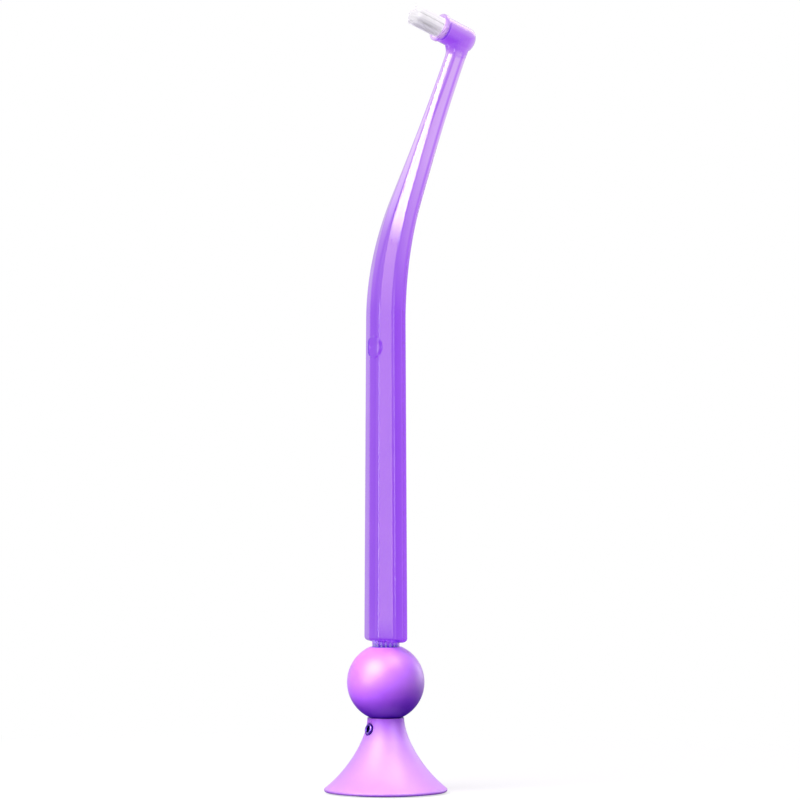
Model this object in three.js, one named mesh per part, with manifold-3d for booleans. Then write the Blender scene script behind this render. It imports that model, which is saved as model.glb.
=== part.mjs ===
// Single-tuft brush with a bent eight-sided handle, standing in a ball and flared foot. Millimetres, +Z up.
import * as THREE from "three";
import { mergeVertices } from "three/addons/utils/BufferGeometryUtils.js";
import Module from "manifold-3d";

const wasm = await Module();
wasm.setup();

// Fits between pieces
const gap = 0.3;
const stubClearance = 0.2;
const buried = 0.15;

// Foot of the stand
const footRadius = 14.8;
const footRimLift = 0.3;
const footRimRound = 0.5;
const footFlareLean = 1.26;
const stemTopRadius = 4.42;
const stemPull = 4.4;
const flarePull = 4.9;

// Ball of the stand
const ballRadius = 9.3;
const ballCentreZ = 26.6;

// Grip of the handle, an eight-sided bar wider than it is thick
const gripBottomZ = 36.3;
const gripWidthLow = 14.4;
const gripWidthHigh = 12.8;
const gripThickLow = 6.8;
const gripThickHigh = 6.3;
const gripFrontFlat = 4.4;
const gripSideFlat = 3.5;
const gripEndRound = 1.1;
const gripEdgeRound = 0.4;

// Neck of the handle and its bend
const neckWidth = 3.8;
const neckThick = 5;
const neckFrontFlat = 1.3;
const neckSideFlat = 3.3;
const neckEdgeRound = 0.35;
const bendStartZ = 112.9;
const bendRadius = 79;
const bendAngle = THREE.MathUtils.degToRad(21.8);
const headAlongNeck = 42.7;
const taperStartZ = 114;
const taperEndAlong = 36;

// Head, a short barrel square to the neck
const barrelRadius = 3.2;
const barrelFront = 7.2;
const barrelBack = 2.85;
const barrelBackRound = 1.9;
const lipRadius = 3.5;
const lipLength = 1.1;
const lipRound = 0.3;
const webRise = 4.4;
const webReach = 2.6;
const webWiden = 0.35;
const webTopBelow = 1.1;

// Tuft and the hole that holds it
const tuftHoleDepth = 2;
const tuftOut = 8.6;
const tuftDome = 1.1;
const tuftRadius = 2.36;
const tuftSpread = 1.07;
const meltThick = 0.7;
const strandPitch = 0.222;
const strandRadius = 0.085;
const strandTip = 0.055;
const tuftHoleRadius = tuftRadius + strandRadius + gap;

// Thumb boss on the front of the grip
const bossBelowBend = 5.9;
const bossHeight = 5.4;
const bossWidth = 6.4;
const bossProud = 0.45;

// Round stub under the grip, with upright ribs
const stubRadius = 3.1;
const stubLength = 12;
const stubChamfer = 0.5;
const stubRibs = 18;
const stubRibHigh = 0.25;

// Socket core inside the ball, with a spindle down into the foot
const coreWall = 1.2;
const coreBelowBall = 2.9;
const coreFloor = 1.6;
const spindleRadius = 2.6;
const spindleBottomZ = 7.3;
const drainRadius = 0.75;

// Drain eyelet in the stem
const eyeletBelowSeat = 3.2;
const eyeletTilt = THREE.MathUtils.degToRad(14);
const eyeletBoreRadius = 0.75;
const eyeletTubeRadius = 1.05;
const eyeletFlangeRadius = 1.35;
const eyeletFlangeThick = 0.4;
const eyeletProud = 0.3;
const eyeletReach = 4.95;

// Weight, pad and screw under the foot
const padRadius = 11.8;
const padThick = 1.3;
const weightRadius = 8;
const weightThick = 3.2;
const screwRadius = 0.95;
const screwTipZ = 11.6;
const screwTipLength = 1.2;
const screwHeadRadius = 2.1;
const screwHeadThick = 1.3;
const screwSlotWidth = 0.6;
const screwSlotDepth = 0.7;

// Number of sides of round pieces
const roundSides = 40;
const smallSides = 24;

// Makes a closed body out of a three.js geometry
function body(geometry) {
  const bare = geometry.index ? geometry.toNonIndexed() : geometry.clone();
  bare.deleteAttribute("normal");
  bare.deleteAttribute("uv");
  const joined = mergeVertices(bare, 1e-4);
  const at = joined.attributes.position.array;
  const faces = joined.index.array;
  const kept = [];
  let volume = 0;
  for (let i = 0; i < faces.length; i += 3) {
    const [a, b, c] = [faces[i], faces[i + 1], faces[i + 2]];
    if (a === b || b === c || a === c) continue;
    kept.push([a, b, c]);
    const p = new THREE.Vector3().fromArray(at, 3 * a);
    const q = new THREE.Vector3().fromArray(at, 3 * b);
    const r = new THREE.Vector3().fromArray(at, 3 * c);
    volume += p.dot(q.cross(r));
  }
  const turned = volume < 0 ? kept.map(([a, b, c]) => [a, c, b]) : kept;
  const mesh = new wasm.Mesh({
    numProp: 3,
    vertProperties: new Float32Array(at),
    triVerts: new Uint32Array(turned.flat()),
  });
  return new wasm.Manifold(mesh);
}

// Turns a closed body back into a three.js geometry
function geometryOf(solid) {
  const mesh = solid.getMesh();
  const geometry = new THREE.BufferGeometry();
  geometry.setAttribute("position", new THREE.BufferAttribute(new Float32Array(mesh.vertProperties), 3));
  geometry.setIndex(new THREE.BufferAttribute(new Uint32Array(mesh.triVerts), 1));
  const flat = geometry.toNonIndexed();
  flat.computeVertexNormals();
  return flat;
}

// Revolves an outline of radius and height around +Z
function revolve(outline, sides) {
  const points = outline.map(([r, z]) => new THREE.Vector2(Math.max(r, 0), z));
  const geometry = new THREE.LatheGeometry(points, sides);
  geometry.rotateX(Math.PI / 2);
  return geometry;
}

// Round bar between two heights
function rod(radius, fromZ, toZ, sides) {
  return revolve([[0, fromZ], [radius, fromZ], [radius, toZ], [0, toZ]], sides);
}

// Points on an arc in an outline, from one angle to another
function arc(centreR, centreZ, radius, fromAngle, toAngle, steps) {
  const points = [];
  for (let i = 0; i <= steps; i++) {
    const turn = fromAngle + ((toAngle - fromAngle) * i) / steps;
    points.push([centreR + radius * Math.cos(turn), centreZ + radius * Math.sin(turn)]);
  }
  return points;
}

// Eight corners of a bar: front to back is the first number, side to side the second
function eightSides(thick, width, frontFlat, sideFlat) {
  const [t, w, f, s] = [thick / 2, width / 2, frontFlat / 2, sideFlat / 2];
  return [[-t, f], [-t, -f], [-s, -w], [s, -w], [t, -f], [t, f], [s, w], [-s, w]];
}

// Moves every side of an outline outward by the same distance
function grow(outline, distance) {
  const normal = (p, q) => {
    const length = Math.hypot(q[0] - p[0], q[1] - p[1]);
    return [(q[1] - p[1]) / length, -(q[0] - p[0]) / length];
  };
  return outline.map((p, i) => {
    const before = normal(outline[(i + outline.length - 1) % outline.length], p);
    const after = normal(p, outline[(i + 1) % outline.length]);
    const share = distance / (1 + before[0] * after[0] + before[1] * after[1]);
    return [p[0] + share * (before[0] + after[0]), p[1] + share * (before[1] + after[1])];
  });
}

// Rounds the corners of an outline, three points to a corner
function rounded(outline, radius) {
  return outline.flatMap((p, i) => {
    const before = outline[(i + outline.length - 1) % outline.length];
    const after = outline[(i + 1) % outline.length];
    const toward = (q) => {
      const length = Math.hypot(q[0] - p[0], q[1] - p[1]);
      const cut = Math.min(radius, 0.42 * length) / length;
      return [p[0] + (q[0] - p[0]) * cut, p[1] + (q[1] - p[1]) * cut];
    };
    const a = toward(before);
    const c = toward(after);
    const b = [(a[0] + c[0]) / 4 + p[0] / 2, (a[1] + c[1]) / 4 + p[1] / 2];
    return [a, b, c];
  });
}

// Skins a row of rings that have the same number of points, and closes both ends
function skin(rings) {
  const count = rings[0].length;
  const at = [];
  const faces = [];
  const middle = (ring) => {
    const sum = new THREE.Vector3();
    ring.forEach((p) => sum.add(p));
    return sum.divideScalar(ring.length);
  };
  rings.forEach((ring) => ring.forEach((p) => at.push(p.x, p.y, p.z)));
  const first = middle(rings[0]);
  const last = middle(rings[rings.length - 1]);
  at.push(first.x, first.y, first.z, last.x, last.y, last.z);
  const firstAt = rings.length * count;
  const topRow = (rings.length - 1) * count;
  for (let j = 0; j < count; j++) {
    const k = (j + 1) % count;
    for (let i = 0; i + 1 < rings.length; i++) {
      const row = i * count;
      const next = row + count;
      faces.push(row + j, row + k, next + k, row + j, next + k, next + j);
    }
    faces.push(k, j, firstAt, topRow + j, topRow + k, firstAt + 1);
  }
  const geometry = new THREE.BufferGeometry();
  geometry.setAttribute("position", new THREE.BufferAttribute(new Float32Array(at), 3));
  geometry.setIndex(faces);
  return geometry;
}

// Middle line of the handle: straight grip, bend, straight neck. It starts at the bottom of the grip
const gripLength = bendStartZ - gripBottomZ;
const bendLength = bendRadius * bendAngle;
const headAlong = gripLength + bendLength + headAlongNeck;
const neckWay = new THREE.Vector3(Math.sin(bendAngle), 0, Math.cos(bendAngle));
const backWay = new THREE.Vector3(Math.cos(bendAngle), 0, -Math.sin(bendAngle));

function middleLine(along) {
  const turn = THREE.MathUtils.clamp((along - gripLength) / bendRadius, 0, bendAngle);
  const straight = Math.min(along, gripLength);
  const beyond = Math.max(along - gripLength - bendLength, 0);
  const point = new THREE.Vector3(bendRadius * (1 - Math.cos(turn)), 0, gripBottomZ + straight);
  point.z += bendRadius * Math.sin(turn);
  point.addScaledVector(neckWay, beyond);
  const back = new THREE.Vector3(Math.cos(turn), 0, -Math.sin(turn));
  return { point, back };
}

const mix = THREE.MathUtils.lerp;

// Outline of the handle at a distance along its middle line
function handleOutline(along, outward) {
  const low = THREE.MathUtils.clamp(along / (taperStartZ - gripBottomZ), 0, 1);
  const taperFrom = taperStartZ - gripBottomZ;
  const taperTo = gripLength + bendLength + taperEndAlong;
  const slim = THREE.MathUtils.smoothstep(along, taperFrom, taperTo);
  const thick = mix(mix(gripThickLow, gripThickHigh, low), neckThick, slim);
  const width = mix(mix(gripWidthLow, gripWidthHigh, low), neckWidth, slim);
  const frontFlat = mix(gripFrontFlat, neckFrontFlat, slim);
  const sideFlat = mix(gripSideFlat, neckSideFlat, slim);
  const sharp = grow(eightSides(thick, width, frontFlat, sideFlat), outward);
  const below = headAlong - webTopBelow - along;
  const web = THREE.MathUtils.clamp(1 - below / webRise, 0, 1) ** 2;
  const shaped = sharp.map(([x, y]) => [x < 0 ? x - webReach * web : x, y * (1 + webWiden * web)]);
  return rounded(shaped, mix(gripEdgeRound, neckEdgeRound, slim));
}

function handleRing(along, outward) {
  const { point, back } = middleLine(along);
  return handleOutline(along, outward).map(([x, y]) => {
    const p = point.clone().addScaledVector(back, x);
    p.y += y;
    return p;
  });
}

// Distances along the handle at which a ring is set: close where it bends or ends
function stations(from, to, count) {
  return Array.from({ length: count }, (unused, i) => mix(from, to, i / (count - 1)));
}

function handleBar() {
  const rings = [];
  for (let i = 0; i < 5; i++) {
    const turn = (Math.PI / 2) * (i / 5);
    const inset = gripEndRound * (1 - Math.sin(turn));
    rings.push(handleRing(gripEndRound * (1 - Math.cos(turn)), -inset));
  }
  const webFrom = headAlong - webTopBelow - webRise;
  const taperFrom = taperStartZ - gripBottomZ;
  const alongs = [
    ...stations(gripEndRound, taperFrom, 4),
    ...stations(taperFrom, webFrom, 32).slice(1),
    ...stations(webFrom, headAlong - webTopBelow, 9).slice(1),
  ];
  alongs.forEach((along) => rings.push(handleRing(along, 0)));
  return body(skin(rings));
}

// Thumb boss: a skin over the front of the grip, kept inside an oval
const bossZ = bendStartZ - bossBelowBend;

function thumbBoss() {
  const oval = new THREE.Shape();
  oval.absellipse(0, 0, bossWidth / 2, bossHeight / 2, 0, 2 * Math.PI);
  const options = { depth: gripThickLow, bevelEnabled: false, curveSegments: 14 };
  const prism = new THREE.ExtrudeGeometry(oval, options);
  prism.rotateX(Math.PI / 2);
  prism.rotateZ(-Math.PI / 2);
  prism.translate(-gripThickLow, 0, bossZ);
  const span = stations(bossZ - bossHeight, bossZ + bossHeight, 3);
  const shell = skin(span.map((z) => handleRing(z - gripBottomZ, bossProud)));
  return body(prism).intersect(body(shell));
}

// Round stub with upright ribs all round, a rib to every four points of its outline
const stubBottomZ = gripBottomZ - stubLength;
const stubRibRadius = stubRadius + stubRibHigh;

function stubRing(z, inset) {
  return Array.from({ length: 4 * stubRibs }, (unused, i) => {
    const turn = (Math.PI * i) / (2 * stubRibs);
    const radius = (i % 4 < 2 ? stubRibRadius : stubRadius) - inset;
    return new THREE.Vector3(radius * Math.cos(turn), radius * Math.sin(turn), z);
  });
}

function ribbedStub() {
  const low = stubRing(stubBottomZ, stubChamfer);
  const above = stubRing(stubBottomZ + stubChamfer, 0);
  return body(skin([low, above, stubRing(gripBottomZ + gripEndRound, 0)]));
}

// Head: barrel, lip and the tuft hole, set square on the neck
function placeOnHead(geometry) {
  const along = backWay.clone().negate();
  const across = new THREE.Vector3(0, 1, 0);
  const third = new THREE.Vector3().crossVectors(along, across);
  const turn = new THREE.Matrix4().makeBasis(across, third.negate(), along);
  turn.setPosition(middleLine(headAlong).point);
  geometry.applyMatrix4(turn);
  return geometry;
}

function headBarrel() {
  const lipFoot = barrelFront - lipLength;
  const outline = [
    [0, -barrelBack],
    ...arc(barrelRadius - barrelBackRound, barrelBackRound - barrelBack, barrelBackRound, -Math.PI / 2, 0, 5),
    [barrelRadius, lipFoot - lipRound],
    [lipRadius - lipRound, lipFoot],
    [lipRadius, lipFoot + lipRound],
    ...arc(lipRadius - lipRound, barrelFront - lipRound, lipRound, 0, Math.PI / 2, 3),
    [tuftHoleRadius, barrelFront],
    [tuftHoleRadius, barrelFront - tuftHoleDepth],
    [0, barrelFront - tuftHoleDepth],
  ];
  return body(placeOnHead(revolve(outline, roundSides)));
}

function makeHandle() {
  const hole = rod(tuftHoleRadius, barrelFront - tuftHoleDepth, barrelFront + lipLength, roundSides);
  const whole = handleBar().add(headBarrel()).add(thumbBoss()).add(ribbedStub());
  return whole.subtract(body(placeOnHead(hole)));
}

// Tuft: strands in rows, fused to the melted button at the bottom of the hole
function makeTuft() {
  const bottom = barrelFront - tuftHoleDepth + gap;
  const top = bottom + meltThick;
  const parts = [body(rod(tuftRadius + strandRadius, bottom, top, smallSides))];
  const rowStep = strandPitch * Math.sin(Math.PI / 3);
  const rows = Math.floor(tuftRadius / rowStep);
  for (let row = -rows; row <= rows; row++) {
    const shift = row % 2 === 0 ? 0 : strandPitch / 2;
    const columns = Math.ceil(tuftRadius / strandPitch) + 1;
    for (let column = -columns; column <= columns; column++) {
      const x = column * strandPitch + shift;
      const y = row * rowStep;
      const out = Math.hypot(x, y) / tuftRadius;
      if (out > 1) continue;
      const tip = barrelFront + tuftOut - tuftDome * out ** 2;
      const ring = (radius, z, spread) =>
        Array.from({ length: 3 }, (unused, i) => {
          const turn = (2 * Math.PI * i) / 3;
          return new THREE.Vector3(x * spread + radius * Math.cos(turn), y * spread + radius * Math.sin(turn), z);
        });
      parts.push(body(skin([ring(strandRadius, top - buried, 1), ring(strandTip, tip, tuftSpread)])));
    }
  }
  const whole = wasm.Manifold.union(parts);
  return body(placeOnHead(geometryOf(whole)));
}

// Ball with the mouth for the stub, the pocket for the core and the bore for its spindle
const socketRadius = stubRibRadius + stubClearance;
const coreRadius = socketRadius + coreWall;
const coreTopZ = ballCentreZ + ballRadius - coreBelowBall;
const socketFloorZ = stubBottomZ - gap;
const coreBottomZ = socketFloorZ - coreFloor;

function makeBall() {
  const sphere = new THREE.SphereGeometry(ballRadius, roundSides, 24);
  sphere.rotateX(Math.PI / 2);
  sphere.translate(0, 0, ballCentreZ);
  const mouth = rod(socketRadius, coreTopZ, ballCentreZ + 2 * ballRadius, roundSides);
  const pocket = rod(coreRadius + gap, coreBottomZ - gap, coreTopZ + gap, roundSides);
  const bore = rod(spindleRadius + gap, ballCentreZ - 2 * ballRadius, coreBottomZ, smallSides);
  return [mouth, pocket, bore].reduce((ball, cut) => ball.subtract(body(cut)), body(sphere));
}

// Core: a cup for the stub on a spindle, with a drain down its middle and out to the eyelet
function makeCore() {
  const cup = body(rod(coreRadius, coreBottomZ, coreTopZ, roundSides));
  const spindle = body(rod(spindleRadius, spindleBottomZ, coreBottomZ + coreFloor / 2, smallSides));
  const socket = body(rod(socketRadius, socketFloorZ, coreTopZ + coreFloor, roundSides));
  const drain = body(rod(drainRadius, eyeletZ - drainRadius, socketFloorZ + coreFloor, smallSides));
  const side = rod(drainRadius, -eyeletReach, 0, smallSides);
  side.rotateY(Math.PI / 2);
  side.translate(0, 0, eyeletZ);
  const pilot = body(rod(screwRadius + gap, spindleBottomZ - coreFloor, screwTipZ + gap, smallSides));
  return cup.add(spindle).subtract(socket).subtract(drain).subtract(body(side)).subtract(pilot);
}

// Side line of the foot, from the top of the stem down to the rim
const seatRadius = ballRadius + gap;
const stemTopZ = ballCentreZ - Math.sqrt(seatRadius ** 2 - stemTopRadius ** 2);
const eyeletZ = stemTopZ - eyeletBelowSeat;
const rimCentre = new THREE.Vector2(footRadius - footRimRound, footRimLift + footRimRound);
const flareTurn = Math.atan(footFlareLean);

function sideLine() {
  const end = rimCentre.clone();
  end.x += footRimRound * Math.cos(flareTurn);
  end.y += footRimRound * Math.sin(flareTurn);
  return new THREE.CubicBezierCurve(
    new THREE.Vector2(stemTopRadius, stemTopZ),
    new THREE.Vector2(stemTopRadius, stemTopZ - stemPull),
    new THREE.Vector2(end.x - footFlareLean * flarePull, end.y + flarePull),
    end,
  );
}

function eyeletOutline() {
  const tubeEnd = spindleRadius + 2 * gap;
  const face = eyeletReach + eyeletProud;
  const flangeBack = face - eyeletFlangeThick;
  return [
    [eyeletBoreRadius, tubeEnd],
    [eyeletTubeRadius, tubeEnd],
    [eyeletTubeRadius, flangeBack],
    [eyeletFlangeRadius, flangeBack],
    [eyeletFlangeRadius, face - eyeletFlangeThick / 2],
    [(eyeletFlangeRadius + eyeletTubeRadius) / 2, face],
    [eyeletTubeRadius, face],
    [eyeletBoreRadius, face - eyeletFlangeThick / 2],
    [eyeletBoreRadius, tubeEnd],
  ];
}

function placeOnStem(geometry) {
  geometry.rotateY(-Math.PI / 2 + eyeletTilt);
  geometry.translate(0, 0, eyeletZ - spindleRadius * Math.sin(eyeletTilt));
  return geometry;
}

function makeEyelet() {
  return body(placeOnStem(revolve(eyeletOutline(), smallSides)));
}

const padTopZ = padThick;
const weightBottomZ = padTopZ + gap;
const weightTopZ = weightBottomZ + weightThick;

function makeFoot() {
  const side = sideLine().getPoints(18).map((p) => [p.x, p.y]);
  const outline = [
    [0, stemTopZ],
    ...side,
    ...arc(rimCentre.x, rimCentre.y, footRimRound, flareTurn, -Math.PI / 2, 5).slice(1),
    [0, footRimLift],
  ];
  const dish = new THREE.SphereGeometry(seatRadius, roundSides, 24);
  dish.rotateX(Math.PI / 2);
  dish.translate(0, 0, ballCentreZ);
  const bore = rod(spindleRadius + gap, spindleBottomZ - gap, ballCentreZ, smallSides);
  const flange = placeOnStem(rod(eyeletFlangeRadius + gap, eyeletReach - eyeletFlangeThick, 2 * eyeletReach, smallSides));
  const tube = placeOnStem(rod(eyeletTubeRadius + gap, 0, 2 * eyeletReach, smallSides));
  const padRoom = rod(padRadius + gap, -padThick, padTopZ + gap, roundSides);
  const weightRoom = rod(weightRadius + gap, 0, weightTopZ + gap, roundSides);
  const screwWay = rod(screwRadius + gap, 0, spindleBottomZ, smallSides);
  const cuts = [dish, bore, flange, tube, padRoom, weightRoom, screwWay];
  return cuts.reduce((foot, cut) => foot.subtract(body(cut)), body(revolve(outline, roundSides)));
}

function makePad() {
  return body(rod(padRadius, 0, padTopZ, roundSides));
}

function makeWeight() {
  const disc = body(rod(weightRadius, weightBottomZ, weightTopZ, roundSides));
  const headRoom = rod(screwHeadRadius + gap, 0, weightBottomZ + screwHeadThick + gap, smallSides);
  const hole = rod(screwRadius + gap, 0, weightTopZ + gap, smallSides);
  return disc.subtract(body(headRoom)).subtract(body(hole));
}

// Screw with a slotted head, up through the weight and the foot into the spindle
function makeScrew() {
  const headTop = weightBottomZ + screwHeadThick;
  const outline = [
    [0, weightBottomZ],
    [screwHeadRadius - gap, weightBottomZ],
    [screwHeadRadius, weightBottomZ + gap],
    [screwHeadRadius, headTop],
    [screwRadius, headTop],
    [screwRadius, screwTipZ - screwTipLength],
    [0, screwTipZ],
  ];
  const slot = new THREE.BoxGeometry(4 * screwHeadRadius, screwSlotWidth, 2 * screwSlotDepth);
  slot.translate(0, 0, weightBottomZ);
  return body(revolve(outline, smallSides)).subtract(body(slot));
}

// Named pieces with their colours
const look = (colour, roughness, metalness) =>
  new THREE.MeshStandardMaterial({ color: new THREE.Color(colour), roughness, metalness });

const brushPieces = [
  ["handle", makeHandle(), look("#9b52ec", 0.12, 0)],
  ["bristle_tuft", makeTuft(), look("#f4f2f8", 0.5, 0)],
];

const standPieces = [
  ["stand_ball", makeBall(), look("#c77bf6", 0.4, 0)],
  ["socket_core", makeCore(), look("#2c1f5e", 0.5, 0)],
  ["stand_foot", makeFoot(), look("#e6acfb", 0.4, 0)],
  ["drain_eyelet", makeEyelet(), look("#9086b5", 0.2, 1)],
  ["foot_weight", makeWeight(), look("#8d8f94", 0.35, 1)],
  ["core_screw", makeScrew(), look("#a9abb0", 0.3, 1)],
  ["base_pad", makePad(), look("#b58ad6", 0.8, 0)],
];

// Groups of pieces that stay together
function groupOf(name, pieces) {
  const group = new THREE.Group();
  group.name = name;
  for (const [pieceName, solid, material] of pieces) {
    const mesh = new THREE.Mesh(geometryOf(solid), material);
    mesh.name = pieceName;
    group.add(mesh);
  }
  return group;
}

const whole = new THREE.Group();
whole.name = "single_tuft_brush_on_stand";
whole.add(groupOf("brush", brushPieces), groupOf("stand", standPieces));

export default whole;
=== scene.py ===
import math

import bmesh
import bpy
from mathutils import Matrix, Vector


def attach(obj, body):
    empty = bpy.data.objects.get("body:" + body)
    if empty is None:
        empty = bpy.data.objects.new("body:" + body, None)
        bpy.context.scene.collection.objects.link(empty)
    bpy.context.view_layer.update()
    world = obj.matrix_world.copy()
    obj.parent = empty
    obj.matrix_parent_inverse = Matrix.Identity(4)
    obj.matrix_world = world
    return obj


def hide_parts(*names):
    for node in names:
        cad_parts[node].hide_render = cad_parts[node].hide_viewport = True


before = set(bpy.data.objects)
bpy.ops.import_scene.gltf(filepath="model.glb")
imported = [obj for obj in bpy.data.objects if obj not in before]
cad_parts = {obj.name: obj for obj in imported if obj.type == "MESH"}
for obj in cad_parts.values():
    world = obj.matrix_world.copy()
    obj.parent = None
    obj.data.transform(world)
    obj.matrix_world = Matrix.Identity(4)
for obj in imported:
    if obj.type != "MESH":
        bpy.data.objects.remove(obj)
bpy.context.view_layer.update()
scene = bpy.context.scene
scene.view_settings.view_transform = "Standard"

# Pieces are sized in millimetres until a mesh is made; the camera and lamps are placed in metres
mm = 0.001
gap = 0.3
mergeDistance = 1e-7
noiseBand = (0.35, 0.65)


# Node trees: a wrapped socket does sums, a sheet makes every other node
class Sock:
    def __init__(self, tree, socket):
        self.tree = tree
        self.socket = socket

    def maths(self, operation, *values):
        node = self.tree.nodes.new("ShaderNodeMath")
        node.operation = operation
        for place, value in zip(node.inputs, values or (self,)):
            plug(self.tree, place, value)
        return Sock(self.tree, node.outputs[0])

    def other(self, name):
        return Sock(self.tree, self.socket.node.outputs[name])

    def __add__(self, value):
        return self.maths("ADD", self, value)

    def __radd__(self, value):
        return self.maths("ADD", value, self)

    def __sub__(self, value):
        return self.maths("SUBTRACT", self, value)

    def __rsub__(self, value):
        return self.maths("SUBTRACT", value, self)

    def __mul__(self, value):
        return self.maths("MULTIPLY", self, value)

    def __rmul__(self, value):
        return self.maths("MULTIPLY", value, self)

    def __truediv__(self, value):
        return self.maths("DIVIDE", self, value)

    def __rtruediv__(self, value):
        return self.maths("DIVIDE", value, self)

    def __mod__(self, value):
        return self.maths("MODULO", self, value)

    def __rmod__(self, value):
        return self.maths("MODULO", value, self)

    def __pow__(self, value):
        return self.maths("POWER", self, value)

    def __rpow__(self, value):
        return self.maths("POWER", value, self)

    def atLeast(self, value):
        return self.maths("MAXIMUM", self, value)


def plug(tree, place, value):
    if isinstance(value, Sock):
        tree.links.new(value.socket, place)
    else:
        place.default_value = value


class Sheet:
    def __init__(self, tree):
        self.tree = tree

    def put(self, kind, settings=None, inputs=None, out=0):
        node = self.tree.nodes.new(kind)
        for name, value in (settings or {}).items():
            setattr(node, name, value)
        for place, value in (inputs or {}).items():
            plug(self.tree, node.inputs[place], value)
        return Sock(self.tree, node.outputs[out]) if node.outputs else node

    def noise(self, where, scale, detail=3.0, roughness=0.5):
        inputs = {"Vector": where, "Scale": scale, "Detail": detail, "Roughness": roughness}
        return self.put("ShaderNodeTexNoise", inputs=inputs)

    def ramp(self, value, low, high, first=0.0, last=1.0):
        inputs = {"Value": value, "From Min": low, "From Max": high, "To Min": first, "To Max": last}
        return self.put("ShaderNodeMapRange", {"clamp": True}, inputs)

    # Stretches the band that holds most of a noise
    def spread(self, value, low=0.0, high=1.0):
        return self.ramp(value, *noiseBand, low, high)

    def blend(self, amount, first, second):
        inputs = {0: amount, 6: first, 7: second}
        return self.put("ShaderNodeMix", {"data_type": "RGBA"}, inputs, out=2)

    def bump(self, height, strength, distance):
        inputs = {"Height": height, "Strength": strength, "Distance": distance}
        return self.put("ShaderNodeBump", inputs=inputs)

    def mark(self, name):
        return self.put("ShaderNodeAttribute", {"attribute_name": name}, out="Fac")

    def split(self, vector):
        return self.put("ShaderNodeSeparateXYZ", inputs={0: vector})

    def join(self, **parts):
        return self.put("ShaderNodeCombineXYZ", inputs=parts)


def newMaterial(name):
    material = bpy.data.materials.new(name)
    material.use_nodes = True
    material.node_tree.nodes.clear()
    return material, Sheet(material.node_tree)


def finishMaterial(sheet, inputs, volume=None):
    surface = sheet.put("ShaderNodeBsdfPrincipled", inputs=inputs)
    ends = {"Surface": surface}
    if volume is not None:
        ends["Volume"] = volume
    sheet.put("ShaderNodeOutputMaterial", inputs=ends)


def objectWhere(sheet):
    return sheet.put("ShaderNodeTexCoord", out="Object")


# Clear purple plastic. Its tint carries painted light: paler along the neck, on the head's rounds and at long
# edges. It carries painted shade too: deeper on the stub towards the ball
def clearPlastic(name, look):
    material, sheet = newMaterial(name)
    where = objectWhere(sheet)
    smear = sheet.noise(where, scale=420.0, detail=4.0, roughness=0.6)
    flow = sheet.noise(where, scale=90.0, detail=2.0)
    rear, along, edge = (sheet.mark(mark) for mark in ("rear", "along", "edge"))
    onSkin = sheet.ramp(rear, *look["skin"])
    thin = (1.0 - sheet.ramp(rear, *look["core"])) * (1.0 - edge * look["edgeFade"])
    inHead = sheet.ramp(along, *look["headFrom"])
    onNeck = sheet.ramp(along, *look["neckFrom"])
    neckShare = (onNeck - inHead) * (thin + onSkin)
    rounds = sheet.ramp(rear, *look["lip"]) + sheet.ramp(rear, *look["dome"]) * look["domePale"]
    headShare = inHead * rounds.atLeast(sheet.ramp(along, *look["crown"]) * look["crownPale"])
    # pale is painted light: a paler tint on the neck's front and rear faces, on the head's lip, dome and
    # crown, and along the grip's long edges
    pale = neckShare.atLeast(headShare).atLeast(edge * (1.0 - onNeck) * look["edgePale"])
    body = sheet.blend(sheet.spread(flow), look["tintLow"], look["tintHigh"])
    # The deeper tint on the stub towards the ball is painted shade
    body = sheet.blend(sheet.ramp(along, *look["stub"]), body, look["tintDeep"])
    inputs = {
        "Base Color": sheet.blend(pale, body, look["tintThin"]),
        "Roughness": sheet.spread(smear, look["clear"], look["hazy"]) + headShare * look["frost"],
        "IOR": look["bending"],
        "Transmission Weight": 1.0,
        "Coat Weight": sheet.spread(smear, 1.0, look["coat"]),
        "Coat Roughness": look["coatRough"],
        "Coat IOR": look["shine"],
        "Normal": sheet.bump(flow, look["ripple"], look["rippleDepth"]),
    }
    absorbed = {"Color": look["depthColour"], "Density": look["depth"]}
    finishMaterial(sheet, inputs, sheet.put("ShaderNodeVolumeAbsorption", inputs=absorbed))
    return material


# Satin soft moulding with a fine spark-eroded grain, and for some pieces a deeper tone at one end, which is
# painted shade
def softMoulding(name, look):
    material, sheet = newMaterial(name)
    where = objectWhere(sheet)
    grain = sheet.noise(where, scale=5200.0, detail=2.0, roughness=0.55)
    cloud = sheet.noise(where, scale=130.0, detail=4.0, roughness=0.55)
    tone = sheet.blend(sheet.spread(cloud), look["deep"], look["pale"])
    coat = look["coat"]
    # Painted shade: past the rise the under tone takes over and the coat fades out
    if "under" in look:
        rise = sheet.ramp(sheet.split(where).other("Z"), *look["rise"])
        tone = sheet.blend(rise, look["under"], tone)
        coat = rise * coat
    rough = sheet.spread(cloud, look["smooth"], look["rough"])
    inputs = {
        "Base Color": tone,
        "Roughness": rough + (grain - 0.5) * look["grainRough"],
        "IOR": look["bending"],
        "Subsurface Weight": look["subsurface"],
        "Subsurface Radius": look["reach"],
        "Subsurface Scale": mm,
        "Coat Weight": coat,
        "Coat Roughness": look["coatRough"],
        "Coat IOR": look["shine"],
        "Normal": sheet.bump(grain, look["grain"], look["grainDepth"]),
    }
    finishMaterial(sheet, inputs)
    return material


# White nylon: each strand has its own tone and lets light through
def nylon(look):
    material, sheet = newMaterial("white_nylon")
    speck = sheet.noise(objectWhere(sheet), scale=2600.0)
    inputs = {
        "Base Color": sheet.blend(sheet.mark("tone"), look["shade"], look["white"]),
        "Roughness": sheet.spread(speck, look["smooth"], look["rough"]),
        "Subsurface Weight": look["subsurface"],
        "Subsurface Radius": look["reach"],
        "Subsurface Scale": mm,
        "Normal": sheet.bump(speck, look["grain"], look["grainDepth"]),
    }
    finishMaterial(sheet, inputs)
    return material


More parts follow.
